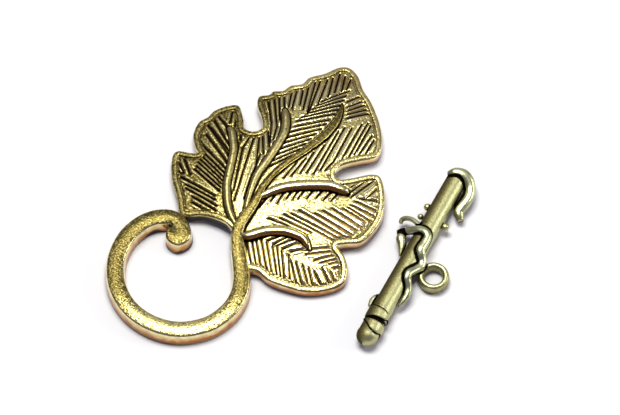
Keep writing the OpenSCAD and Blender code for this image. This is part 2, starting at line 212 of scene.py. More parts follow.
outlineRows = [
    [7, -5.5], [14.5, -11.8], [21, -10.4], [27, -11], [34.5, -9.5], [43.5, -6.3], [51, -0.5], [54.8, 6],
    [52.5, 12], [47.5, 16], [42.8, 17.6], [45, 20.3], [50, 24.8], [51.2, 32], [50, 40], [45, 48],
    [38.5, 53.7], [34, 52.5], [28.2, 46], [24, 42.4], [21, 44.5], [21.5, 49], [26.3, 55], [30.8, 60.4],
    [29.2, 66.5], [22.8, 73.8], [12.8, 80.9], [5, 84.6], [-1.2, 89], [-7, 90.4], [-11.2, 87.8],
    [-14.2, 81.6], [-18.3, 76.2], [-19, 71.5], [-22.5, 68], [-23.7, 64], [-27, 61.5], [-27.5, 59],
    [-30.5, 56], [-28.5, 52], [-23, 48], [-19.5, 44], [-21.5, 40.5], [-26, 39.8], [-29, 43],
    [-35, 47.5], [-39.5, 45], [-43, 40], [-43.5, 36], [-45.2, 32], [-43.5, 26], [-39.5, 22],
    [-36.2, 19.8], [-39, 18.2], [-44.3, 16.3], [-44.5, 12.5], [-38.5, 4.8], [-30, -2], [-25.5, -6.3],
    [-21.5, -6.5], [-15, -2.5], [-6, -0.5], [0, -1.5],
]
outline = smoothRows(leafXy(outlineRows), 12, closed=True)

# Veins: across, along, half width and rise as shares of the thickest vein's.
veinRows = {
    "upperLeft": [
        [0.2, 7, 0.5, 0.7], [-1.8, 11.2, 0.55, 0.8], [-3.5, 15, 0.65, 0.85], [-5.3, 19.8, 0.75, 0.9],
        [-6.7, 24.6, 0.83, 0.9], [-7, 31, 0.9, 0.9], [-7.7, 37.4, 0.92, 0.9], [-8.4, 42.2, 0.92, 0.9],
        [-9.5, 47, 0.92, 0.9], [-11.9, 51.2, 0.92, 0.9], [-14.7, 54.4, 0.85, 0.85], [-16.5, 56.4, 0.5, 0.5]],
    "left": [
        [0.3, 1, 0.6, 0.5], [-4.6, 3.5, 0.72, 0.85], [-8.8, 6.7, 0.78, 0.9], [-12.6, 10.9, 0.83, 0.9],
        [-15.8, 15, 0.83, 0.9], [-18.2, 19.8, 0.83, 0.9], [-20.7, 24.6, 0.83, 0.9], [-23.1, 28.8, 0.87, 0.9],
        [-26.3, 32.3, 0.87, 0.9], [-29.4, 35.2, 0.8, 0.85], [-31.7, 36.3, 0.5, 0.5]],
    "right": [
        [0.8, 17, 0.8, 0.8], [5.6, 24, 1, 1.1], [10.9, 29.1, 1.12, 1.25], [17.9, 34.2, 1.18, 1.3],
        [23.1, 37.4, 1.18, 1.3], [27.7, 38.7, 1.12, 1.2], [30.3, 39.1, 0.9, 1], [31.4, 38.9, 0.5, 0.6]],
    "lowerRight": [
        [3.2, -1.4, 0.7, 0.35], [7.4, -0.3, 1, 1.1], [10.9, 3.5, 1.06, 1.2], [14.4, 6.7, 1.08, 1.25],
        [19.6, 9.9, 1.06, 1.2], [24.9, 11.5, 1, 1.1], [28.4, 11.8, 0.88, 1], [31.7, 10.6, 0.65, 0.75],
        [34.1, 9.4, 0.2, 0.3]],
}

# The trunk that the stem becomes, with the same columns.
trunkRows = np.array([
    [1.5, 2, 1.3, 1], [1, 9, 1.15, 1], [0.5, 15, 0.95, 1], [-0.7, 21.4, 0.7, 0.9], [-0.8, 26.2, 0.62, 0.8],
    [-0.2, 31, 0.62, 0.8], [1.4, 37.4, 0.7, 0.8], [3.5, 43.8, 0.76, 0.8], [4.9, 49.3, 0.83, 0.85],
    [6, 54.4, 0.88, 0.9], [6.3, 59.8, 0.88, 0.85], [5.8, 64.6, 0.75, 0.75], [4.2, 69.4, 0.5, 0.5],
    [2.4, 72.6, 0.15, 0.2]])

# The ring from the curl's foot to the leaf: angle round the opening's middle, reach as a share of the band's
# middle radius, width as a share of the band, and how far it has climbed to the leaf.
hookRows = np.array([
    [143, 0.973, 0.98, 0], [151, 1, 0.97, 0], [164, 1.015, 0.98, 0], [182, 1.01, 1, 0], [205, 0.995, 1, 0],
    [230, 0.985, 1, 0], [255, 0.985, 1, 0], [280, 0.985, 1, 0], [305, 1, 1, 0], [330, 1.01, 1, 0],
    [352, 1.005, 1, 0], [370, 0.985, 0.98, 0], [386, 0.95, 0.95, 0.04], [403, 0.925, 0.89, 0.2],
    [418, 0.955, 0.79, 0.5], [430, 1.055, 0.68, 0.85]])
# The curl, from the crevice round to the band, in mm: x and y of its inner edge, and of its outer edge.
curlRows = np.array([
    [-4.82, 4.5, -4.86, 4.05], [-4.8, 4.47, -4.62, 3.35], [-4.78, 4.46, -4.15, 2.6],
    [-4.77, 4.46, -3.22, 2.28], [-4.77, 4.47, -2.17, 2.52], [-4.77, 4.48, -1.55, 3.45],
    [-4.78, 4.49, -1.45, 4.4], [-4.79, 4.5, -1.8, 5.2], [-4.8, 4.51, -2.52, 5.92], [-4.82, 4.52, -3.57, 6.5],
    [-4.87, 4.51, -4.97, 6.76], [-5.08, 4.42, -6.25, 6.45]])
# Sections, right half: share across, share of the height, polish. The band has a flat sandy top and spreading
# bright walls, and the trunk is rounder.
bandSection = bothSides([
    [0, 1, 0.2], [0.2, 0.992, 0.2], [0.38, 0.976, 0.2], [0.56, 0.956, 0.25], [0.7, 0.934, 0.35],
    [0.79, 0.905, 0.6], [0.85, 0.855, 0.9], [0.89, 0.77, 1], [0.94, 0.55, 1], [1, 0.25, 0.9],
    [0.99, 0.08, 0.6], [0.92, 0, 0.4], [0, 0, 0]])
trunkSection = bothSides([
    [0, 1], [0.28, 0.992], [0.46, 0.975], [0.6, 0.95], [0.72, 0.91], [0.8, 0.86], [0.86, 0.8], [0.93, 0.67],
    [0.98, 0.5], [1, 0.25], [0.99, 0.08], [0.92, 0], [0, 0]])

# Grooves between the fine ribs, in mm from the middle of the ring's opening: x and y of both ends.
grooveShift = (-0.07, -0.2)
grooveRows = [
    # upper lobe, scalloped side
    [1.33, 35.83, 1.92, 34.08], [0.5, 35.75, 1.58, 33.42], [-0.3, 35.75, 1, 32.67],
    [-0.58, 34.58, 0.75, 31.58], [-1, 34, 0.37, 29.83], [-1.58, 33.17, 0.25, 27.83], [-2, 32.67, 0, 28],
    [-2.42, 31.9, -0.67, 28],
    [-2.58, 30.75, -1.42, 28.4], [-3.33, 30.58, -1.92, 27.3], [-3.67, 29.83, -2.42, 27.3],
    [-4.17, 28.75, -2.83, 26.9], [-4.58, 28.17, -2.17, 25], [-4.92, 27.58, -1.9, 24], [-1.9, 24, -1.1, 22],
    [-5.25, 26.75, -2.83, 24], [-2.83, 24, -1.2, 21.5], [-5.83, 26.08, -4, 24.67], [-4.2, 25, -1.2, 21.3],
    [-3.4, 23.9, -0.9, 20.9], [-3, 22.3, -0.9, 19.6],
    # upper lobe, up to the midrib
    [0.5, 30.4, 2.3, 34.1], [0.35, 29.5, 2.5, 33.2], [0.2, 28.6, 2.65, 32.4], [0.05, 27.7, 2.8, 31.5],
    [-0.15, 26.8, 2.9, 30.7], [-0.3, 26, 3, 29.9], [0, 25.2, 3.05, 28.8], [0.1, 24.3, 3, 27.9],
    [0.2, 23.3, 2.95, 26.9], [0.35, 22.4, 2.85, 25.9], [0.5, 21.4, 2.75, 24.9], [0.65, 20.5, 2.65, 23.9],
    [0.8, 19.5, 2.5, 22.8], [0.9, 18.6, 2.4, 21.8],
    # past the midrib's tip
    [3.1, 32.4, 3.9, 34.3], [3.6, 31.7, 4.6, 33.8], [4, 31.3, 5.2, 33.6], [4.3, 30.8, 5.8, 33.1],
    [4.6, 30.3, 6.4, 32.8],
    # upper lobe, right of the midrib
    [9.2, 29.8, 9.6, 27], [8.6, 30.2, 9, 26.4], [7.6, 31.4, 8.5, 26.5], [7.1, 31.4, 8.3, 24.9],
    [6.6, 30.8, 7.7, 24.5], [7.7, 24.5, 7.6, 22], [5.95, 29.5, 7, 24], [7, 24, 6.9, 22.3],
    [5.2, 28.9, 6.4, 21.9], [4.9, 28, 6, 21], [4.7, 25.2, 5.2, 20.6], [4.2, 23.5, 4.6, 20],
    [3.9, 22.2, 3.9, 19], [3.3, 21, 3.3, 18.2],
    # between the left vein and the upper left one
    [-5.7, 21.6, -4.6, 19.7], [-3.9, 21.1, -3.64, 18.9], [-3.64, 18.9, -0.96, 13.2],
    [-3.46, 21.2, -0.07, 12.1], [-2.75, 21.3, -0.8, 17.9], [-1.2, 19.3, 0.9, 13],
    # left lobe
    [-9.4, 21.2, -7, 20.3], [-9.45, 20.45, -5.25, 18.2], [-9.5, 19.3, -4.36, 16.96], [-8.8, 18, -3.8, 15.9],
    [-9.4, 16.8, -3.6, 15.1], [-8.9, 19.2, -4.9, 17.5], [-7.6, 15.6, -3.3, 14.5], [-7.5, 15.1, -3.1, 14],
    [-7.4, 14.6, -2.95, 13.5], [-7.25, 14.1, -2.8, 13.1], [-7.1, 13.5, -2.6, 12.6], [-7, 13, -2.4, 12.1],
    [-9.6, 14, -7, 12.1], [-9.6, 12.95, -7.9, 11.9], [-8.9, 11.8, -8, 11.7], [-7.84, 11.16, -2.5, 11.2],
    [-6.7, 10.6, -2.2, 10.8], [-6.3, 10.2, -1.5, 10.2], [-4.9, 9.64, -1.2, 9.64], [-4.5, 9, -1.5, 8.93],
    [-8, 22.7, -7.2, 21], [-7.2, 22.7, -6.4, 21],
    # right lobe
    [10.6, 23.2, 10.3, 22.5], [11.25, 23.8, 10.9, 22.3], [12, 24.8, 11.2, 21.25], [12.67, 25, 11.75, 21.1],
    [13.67, 24.6, 13.4, 22.3], [15, 22.9, 12.67, 21.5], [15.7, 21.5, 12.5, 20.9], [15.9, 20.67, 12.3, 20.1],
    [15.8, 19.8, 12.2, 19.6], [15.3, 19.36, 11.86, 19.1], [15.57, 18.4, 10.66, 18.24],
    [15.2, 17.64, 9.97, 17.3], [15.05, 16.8, 9.36, 16.4], [14.5, 16, 7.55, 15.57], [14.1, 15.4, 7, 14.6],
    [13.67, 14.8, 6.34, 14], [10.66, 14, 6.17, 13.24], [7.6, 13, 5, 12.4],
    # hanging under the right vein
    [3.15, 16, 3.15, 13], [3.76, 16.1, 3.84, 14.6], [4.5, 16.5, 4.7, 14.8], [5.14, 17.55, 5.3, 16],
    [5.8, 18.3, 6, 16.4], [6.4, 18.76, 6.5, 16.8], [7.3, 19.5, 7.4, 17.55], [8.3, 20.1, 8.3, 18.3],
    [9.3, 20.3, 9.2, 18.6], [10.1, 20.65, 10.05, 19.1],
    # lower right lobe
    [7.98, 11.86, 6.7, 9.8], [8.6, 11.95, 7.64, 9.8], [9.3, 11.95, 8.07, 9.97], [10.1, 11.95, 8.9, 9.97],
    [11.2, 11.7, 9.97, 10.3], [13.67, 13.76, 11.17, 11.43], [14.3, 13.6, 11.7, 11.1],
    [14.8, 13.4, 13.07, 11.1], [15.5, 13.3, 13.84, 11.3], [16, 13.4, 14.8, 11.8], [16.6, 12.8, 15.66, 11.8],
    [4, 7.98, 6.5, 5.65], [4.36, 8.5, 7.4, 5.65], [4.9, 9, 7.8, 6], [5.3, 9.3, 8.4, 6.17],
    [5.74, 9.8, 8.93, 6.6], [6.7, 9.7, 9.45, 6.86], [7.64, 9.7, 10.3, 6.86], [8.24, 9.8, 10.83, 6.95],
    [8.93, 9.8, 11.3, 7.03], [9.97, 9.9, 11.9, 7.4], [10.74, 9.3, 12.9, 7.4], [11.3, 9.6, 13.67, 7.6],
    [12.2, 9.8, 14.1, 8.2], [13.07, 9.9, 14.8, 8.3], [13.84, 10, 15.8, 8.9], [14.45, 10.9, 16.5, 9.7],
    [15.5, 11.26, 16.95, 10.2],
]


# True where a point lies inside the loop: a ray towards +x crosses it an odd number of times.
def inside(p, loop):
    x, y = p[:, 0, None], p[:, 1, None]
    x0, y0 = loop.T
    x1, y1 = np.roll(loop, -1, axis=0).T
    crossed = (y0 > y) != (y1 > y)
    climb = np.where(y0 == y1, 1, y1 - y0)
    return (crossed & (x < x0 + (x1 - x0) * (y - y0) / climb)).sum(1) % 2 == 1


# A ramp across the leaf: 0 on the left and upper lobes, 1 on the right one, and a quarter of that on the
# lower one.
def towardsLowerRight(p):
    share = np.clip((p[:, 0] - 3 - 0.6 * (p[:, 1] - 9)) / 6, 0, 1)
    return share * (0.25 + 0.75 * np.clip((p[:, 1] - 10) / 2, 0, 1))


# A ramp the other way: 1 on the left lobes and 0 elsewhere.
def onLeftLobes(p):
    return np.clip((-1 - p[..., 0] - 0.25 * (p[..., 1] - 20)) / 3, 0, 1)


# Depth share of the grooves at each point, a bell curve across each, and share of the ridges beside them,
# a second bell curve to both sides that stops short of the groove's ends.
def grooves(p):
    depth, ridge = np.zeros(len(p)), np.zeros(len(p))
    # Towards the lower right the grooves are thinner and the ribs between them broader.
    width = leaf["grooveWidth"] * (1 - 0.3 * towardsLowerRight(p))
    for row in grooveRows:
        a = np.array(row[:2]) + grooveShift
        b = np.array(row[2:]) + grooveShift
        along = b - a
        length = np.linalg.norm(along)
        t = ((p - a) @ along) / length ** 2
        d = np.linalg.norm(p - a - np.clip(t, 0, 1)[:, None] * along, axis=1)
        ends = fade(np.abs(t - 0.5) * length, length / 2 - 0.35, length / 2 + 0.1)
        depth = np.maximum(depth, np.exp(-(d / width) ** 2))
        across = (d / leaf["grooveWidth"] - leaf["ridgeMiddle"]) / leaf["ridgeSpread"]
        ridge = np.maximum(ridge, ends * np.exp(-across ** 2))
    return depth, ridge * (1 - depth) ** 1.5


# Veins apart from the trunk: x, y, half width, top and foot at each station.
veins = {}
for name, rows in veinRows.items():
    path = smoothRows(rows, 6)
    p = leafXy(path)
    z = leafZ(p)
    half, rise = leaf["veinWidth"] / 2 * path[:, 2], leaf["veinRise"] * path[:, 3]
    veins[name] = np.column_stack([p, half, z + rise, z - leaf["veinSink"]])


# How near each point of the blade is to the foot of a vein: 1 at its foot, 0 at reach from it.
def beside(p, paths, reach):
    near = np.zeros(len(p))
    for path in paths:
        gap, index = nearest(p[:, :2], path[:, :2])
        near = np.maximum(near, fade(gap - path[index, 2], 0, reach))
    return near


# The ring's band, the stem and the trunk are one path: x, y, half width, top and foot at each station.
climb = np.clip(hookRows[:, 3], 0, 1)
turn = np.radians(hookRows[:, 0])
ringAt = ringR * hookRows[:, 1, None] * np.stack([np.cos(turn), np.sin(turn)], 1)
trunkTop = leafZ(rootAt) + leaf["veinRise"]
bandTop = ring["bandHeight"] + (trunkTop - ring["bandHeight"]) * climb
bandFoot = (leafZ(rootAt) - leaf["blade"]) * climb
bandRows = np.column_stack([ringAt, ring["bandWidth"] / 2 * hookRows[:, 2], bandTop, bandFoot])
trunkAt = leafXy(trunkRows)
trunkZ = leafZ(trunkAt)
trunkPart = np.column_stack([trunkAt, leaf["veinWidth"] / 2 * trunkRows[:, 2],
                             trunkZ + leaf["veinRise"] * trunkRows[:, 3], trunkZ - leaf["veinSink"]])
stemSteps = 10
stem = smoothRows(np.vstack([bandRows, trunkPart]), stemSteps)
trunkStart = (len(bandRows) - 2) * stemSteps
trunk = stem[trunkStart:]


# Numbers the points of a grid that its chosen cells touch, and gives their places in grid steps; the other
# points are -1.
def numbered(cells):
    used = np.zeros(np.array(cells.shape) + 1, bool)
    for dx in (0, 1):
        for dy in (0, 1):
            used[dx:cells.shape[0] + dx, dy:cells.shape[1] + dy] |= cells
    index = np.full(used.shape, -1)
    index[used] = np.arange(used.sum())
    return index, np.stack(np.nonzero(used), -1)


# A face for each chosen cell of a grid, counter-clockwise from above.
def cellFaces(index, cells):
    x, y = np.nonzero(cells)
    return np.stack([index[x, y], index[x + 1, y], index[x + 1, y + 1], index[x, y + 1]], -1)


# The blade's walls: one face for each outer side of a coarse cell, with the fine points of the top along its
# upper side.
def bladeWalls(cells, split, top, bottom):
    pad = np.pad(cells, 1)
    sides = (((1, 0), (1, 0), (1, 1)), ((-1, 0), (0, 1), (0, 0)), ((0, 1), (1, 1), (0, 1)),
             ((0, -1), (0, 0), (1, 0)))
    walls = []
    for (ox, oy), start, end in sides:
        bare = cells & ~pad[1 + ox:1 + ox + cells.shape[0], 1 + oy:1 + oy + cells.shape[1]]
        x, y = np.nonzero(bare)
        steps = [(start[0] * split + (end[0] - start[0]) * k, start[1] * split + (end[1] - start[1]) * k)
                 for k in range(split + 1)]
        upper = [top[x * split + sx, y * split + sy] for sx, sy in steps]
        lower = [bottom[x + end[0], y + end[1]], bottom[x + start[0], y + start[1]]]
        walls.append(np.stack(upper[::-1] + lower[::-1], -1))
    return walls


# The blade's upper side: height, patina with painted shade, polish with painted sheen, and painted warm
# shade at each point. The blade swells a little inside its rim, ridges and grooves are laid on that, and a
# gutter runs along the rim and the veins.
def bladeRelief(p):
    depth, ridge = grooves(p)
    edgeGap, _ = nearest(p, outline)
    fromGutter = np.abs(edgeGap - leaf["rimWidth"] - leaf["rimGutterIn"])
    rimFoot = np.clip(1 - fromGutter / leaf["rimGutterWidth"], 0, 1)
    foot = beside(p, [*veins.values(), trunk], leaf["veinGutterWidth"])
    lowerRight, leftOf = towardsLowerRight(p), onLeftLobes(p)
    # The grooves stop short of the rim.
    free = fade(-edgeGap, -leaf["rimWidth"] - leaf["margin"], -leaf["rimWidth"])
    depth, ridge = depth * free, ridge * free
    swell = leaf["swell"] * np.clip(edgeGap / leaf["swellOver"], 0, 1)
    z = (leafZ(p) - leaf["bladeDrop"] + swell + leaf["ridgeRise"] * ridge
         - leaf["grooveDepth"] * depth * (1 - 0.45 * lowerRight)
         - leaf["rimGutter"] * rimFoot - leaf["veinGutter"] * foot ** 2)
    # The grooves are black with patina on the left. Towards the lower right they are painted lighter and
    # brown, as painted shade, and the gutter inside the rim is painted darker there.
    brownShade = 0.15 + 0.55 * lowerRight
    inGroove = 1.35 * depth - 0.12 - 0.47 * lowerRight
    patinaAndShade = np.clip(np.maximum(np.maximum(inGroove, 1.05 * foot ** 1.3), brownShade * rimFoot), 0, 1)
    # The ribs are polished. The left lobes get the least polish and are painted darker, as painted shade.
    polishAndSheen = 0.31 - 0.28 * leftOf + (0.55 - 0.25 * leftOf) * ridge
    return z, np.clip(patinaAndShade - 0.06 * leftOf, 0, 1), polishAndSheen, brownShade * depth


# The blade: a fine square grid on top, a coarse one underneath, and walls between them under the rim.
def addBlade(shell):
    step, split = leaf["pitch"], leaf["split"]
    low = outline.min(0) - step
    size = np.ceil((outline.max(0) - low) / step).astype(int) + 1
    ix, iy = np.meshgrid(np.arange(size[0]), np.arange(size[1]), indexing="ij")
    middle = low + (np.stack([ix, iy], -1).reshape(-1, 2) + 0.5) * step
    edgeGap, _ = nearest(middle, outline)
    cells = (inside(middle, outline) & (edgeGap > leaf["bladeInset"])).reshape(size)
    fine = np.kron(cells, np.ones((split, split), bool))
    top, at = numbered(fine)
    p = low + at * (step / split)
    z, patinaAndShade, polishAndSheen, warmShade = bladeRelief(p)
    topBase = shell.count
    shell.add(np.column_stack([p, z]), [cellFaces(top, fine)], patinaAndShade, polishAndSheen, warmShade)
    bottom, at = numbered(cells)
    q = low + at * step
    under = cellFaces(bottom, cells)[:, [0, 3, 2, 1]]
    bottomBase = shell.count
    shell.add(np.column_stack([q, np.maximum(leafZ(q) - leaf["blade"], 0.05)]), [under], 0.2, 0.1)
    shell.faces += bladeWalls(cells, split, top + topBase, bottom + bottomBase)


# The rim, round the outline: a flat margin, the outer wall down to the foot, and the way back up inside. Its
# rows: in from the edge, height over the dome, share of the way down to the foot, patina with painted shade,
# which grows down the wall, and polish.
def addRim(shell):
    tangent = np.roll(outline, -1, axis=0) - np.roll(outline, 1, axis=0)
    tangent /= np.linalg.norm(tangent, axis=1)[:, None]
    inward = np.stack([-tangent[:, 1], tangent[:, 0]], 1)
    rise, width = leaf["rimRise"], leaf["rimWidth"]
    rows = np.array([
        [1.2 * width, -0.25, 0, 0.5, 0], [width, -0.04, 0, 0.35, 0.1],
        [0.9 * width, 0.6 * rise, 0, 0.25, 0.35], [0.78 * width, 0.92 * rise, 0, 0.3, 0.4],
        [0.55 * width, rise, 0, 0.33, 0.4], [0.35 * width, 0.95 * rise, 0, 0.3, 0.45],
        [0.2 * width, 0.6 * rise, 0, 0.15, 0.6], [0.09 * width, -0.1 * rise, 0, 0, 0.8],
        [0.02 * width, -1.2 * rise, 0, 0, 1], [0, 0, 0.25, 0.05, 1], [0, 0, 0.55, 0.2, 0.9],
        [0.04, 0, 0.85, 0.4, 0.7], [0.16, 0, 1, 0.6, 0.4], [1.2 * width, 0, 1, 0.4, 0],
        [1.65 * width, 0, 0.8, 0.4, 0], [1.75 * width, 0, 0.6, 0.4, 0]])
    edgeZ = leafZ(outline)
    footZ = np.maximum(0, edgeZ - leaf["edge"])
    down = rows[:, 2]
    p = outline[:, None] + inward[:, None] * (rows[None, :, 0, None] + leaf["rimInset"])
    z = np.where(down > 0, edgeZ[:, None] + (footZ - edgeZ)[:, None] * down, leafZ(p) + rows[:, 1])
    points = np.concatenate([p, z[..., None]], -1)
    faces = ringFaces(len(outline), len(rows), closedRings=True)[:, ::-1]
    # On the left lobes the rim is painted as dark as the blade, as painted shade. The wall is painted brown
    # low down, as painted shade and warm reflection, and black over the ring, as painted shade.
    leftOf = onLeftLobes(outline)[:, None] * (down == 0)
    shadeOverRing = fade(np.linalg.norm(outline - (-3, 8.5), axis=1), 4, 6)[:, None] * (down > 0)
    patinaAndShade = np.maximum(rows[:, 3] + 0.1 * leftOf, 0.8 * shadeOverRing)
    polishAndSheen = rows[:, 4] * (1 - 0.75 * leftOf)
    warmShade = np.clip(1.1 * down - 0.1, 0, 0.8) * np.where(outline[:, 0] > -4, 1, 0.3)[:, None]
    shell.add(points.reshape(-1, 3), [faces], patinaAndShade.ravel(), polishAndSheen.ravel(), warmShade.ravel())


# The veins: round cords that lie sunk in the blade and fade out in points. The two on the left are painted
# duller and darker, as painted shade.
def addVeins(shell):
    section = roundSection(16)
    height = 2 * section[:, 1] - 1
    for name, path in veins.items():
        dull = name in ("upperLeft", "left")
        base, slope = (0.1, 0.3) if dull else (0.3, 0.45)
        points, faces = carried(*edgesOf(path[:, :2], path[:, 2]), path[:, 4], path[:, 3], section)
        # The right veins are painted brown and darker down their lower flank, as painted shade.
        down = (np.repeat(path[:, 1], len(section)) - points[:, 1]) / np.repeat(path[:, 2], len(section))
        warmShade = 0 if dull else 0.9 * np.clip(2 * down - 0.2, 0, 1)
        flankShade = 0 if dull else 0.4 * np.clip(down - 0.5, 0, 1)
        # Patina darkens each vein at its foot. The two left veins are darkened all over, as painted shade.
        side = np.tile(np.maximum(0.9 - 1.5 * height, 0.42 if dull else 0), len(path))
        polishAndSheen = np.tile(np.clip(base + slope * height, 0, 1), len(path))
        shell.add(points, faces, np.clip(np.maximum(side, flankShade), 0, 1), polishAndSheen, warmShade)


# The ring's band with its curled end, the stem, and the trunk that it becomes: one section carried along one
# path, which changes from the band's to the trunk's over the first stations of the trunk.
def addStem(shell):
    left, right = edgesOf(stem[:, :2], stem[:, 2])
    # Round the ring the path runs counter-clockwise, so the opening is on its left.
    joint = [np.concatenate([left[k], right[k]]) for k in (0, stemSteps)]
    curl = smoothRows(np.vstack([curlRows, joint]), stemSteps)[:-stemSteps - 1]
    left, right = np.vstack([curl[:, :2], left]), np.vstack([curl[:, 2:], right])
    curlTop = np.full(len(curl), ring["bandHeight"])
    top = np.concatenate([curlTop, stem[:, 3]])
    foot = np.maximum(np.concatenate([0 * curlTop, stem[:, 4]]), 0)
    share = np.clip((np.arange(len(stem)) - trunkStart) / (6 * stemSteps), 0, 1)
    share = np.concatenate([0 * curlTop, share])[:, None, None]
    section = bandSection[None, :, :2] * (1 - share) + trunkSection[None] * share
    points, faces = carried(left, right, foot, top, section)
    # Black where the curl closes on itself and where it touches the leaf, and along the foot of the trunk.
    closing = nearest(points, np.array([[*curlRows[0, :2], z] for z in (0, 0.8, 1.6, 2.3)]))[0]
    touching = nearest(points, np.array([[-4.4, 7.0, 1.9], [-3.6, 6.9, 1.8]]))[0]
    patinaAndShade = np.maximum(1.35 - closing / 0.5, 1.2 - touching / 0.6)
    onLeaf = np.repeat(share.ravel() > 0, section.shape[1]) * (section[..., 1].ravel() < 0.75)
    # Painted brown shade low on the ring's inner wall, where the curl turns in.
    bearing = np.arctan2(points[:, 1], points[:, 0])
    inner = np.hypot(points[:, 0], points[:, 1]) < ringR
    innerWallShade = (1.15 - points[:, 2] / 1.1 + 0.35 * np.sin(11 * bearing) * np.sin(4 * bearing + 1)) * inner
    innerWallShade = np.clip(innerWallShade * fade(np.abs(bearing - 2.35), 0.45, 0.7), 0, 1)
    patinaAndShade = np.maximum(patinaAndShade, innerWallShade)
    # The trunk is painted darker up its length, as painted shade.
    trunkShade = np.repeat(np.clip(2.5 * share.ravel() - 1, 0, 1), section.shape[1])
    patinaAndShade = np.clip(np.maximum(np.maximum(patinaAndShade, 0.9 * onLeaf), 0.34 * trunkShade), 0, 1)
    # The flat of the ring is painted bright at the bottom, about -55 degrees, as a painted highlight, and
    # darker elsewhere, as painted shade.
    litAndRubbed = np.clip(1.9 * np.cos(bearing + 0.96) - 0.75, 0, 1) * (points[:, 1] < 2)
    polishAndSheen = np.tile(bandSection[:, 2], len(left))
    onFlat = polishAndSheen < 0.5
    polishAndSheen = np.where(onFlat, np.maximum(polishAndSheen - 0.2 + 0.34 * litAndRubbed, 0), polishAndSheen)
    patinaAndShade = np.where(onFlat, np.maximum(patinaAndShade, 0.36 - 0.36 * litAndRubbed), patinaAndShade)
    shell.add(points, faces, patinaAndShade, polishAndSheen, 0.8 * innerWallShade)


backEye = {"place": [3, 45], "bore": 1.0, "wall": 0.4, "length": 1.6, "gap": 0.2, "sides": 32}


# The plain eye under the leaf: a tube across it, hung close under the blade.
def addBackEye(shell):
    at = leafXy(backEye["place"])
    bore, half = backEye["bore"] / 2, 0.5
    outer = bore + backEye["wall"]
    z = leafZ(at) - leaf["blade"] - bore - backEye["gap"]
    turn = np.linspace(0, 2 * np.pi, backEye["sides"], endpoint=False)
    rows = ((bore, -half), (outer, -half), (outer, half), (bore, half))
    rings = [np.stack([at[0] + backEye["length"] * s + 0 * turn, at[1] + r * np.cos(turn),
                       z + r * np.sin(turn)], -1) for r, s in rows]
    faces = ringFaces(len(rings), len(turn), closedRings=True)[:, ::-1]
    shell.add(np.concatenate(rings), [faces], 0.3, 0.3)


print("making the leaf and its ring")
leafShell = Shell()
addBlade(leafShell)
addRim(leafShell)
addVeins(leafShell)
addStem(leafShell)
addBackEye(leafShell)
leafPiece = leafShell.build("leaf_and_ring_casting")


# The bar, in mm, drawn along y from its middle and then laid beside the leaf

bar = {
    "length": 28.0, "rod": 2.7, "vine": 1.5, "wrap": 0.2, "seamDepth": 0.12,
    # the rod ends this share of a cord's thickness short of the bar's length, and its rim is rounded off
    "short": 0.75, "endRound": 0.4, "endDrop": 0.35,
    # the eye at its side, in the clear, and the wire that it is made of
    "eyeBore": 2.3, "eyeWire": 0.85, "eyeHeight": 1.6, "eyeGap": 0.2, "eyeAlong": -0.045, "eyeLift": 0.1,
    # where it lies: turned this many degrees, and its middle's way from the leaf's root, in mm and in shares
    # of the leaf's width and length
    "turn": 7.8, "beside": 19.3, "leafWidths": 0.045, "leafLengths": 0.317,
}
rodR, vineR = bar["rod"] / 2, bar["vine"] / 2
axisZ = rodR + bar["wrap"]
barAt = rootAt + (bar["leafWidths"] * leaf["width"] + bar["beside"], bar["leafLengths"] * leaf["length"])
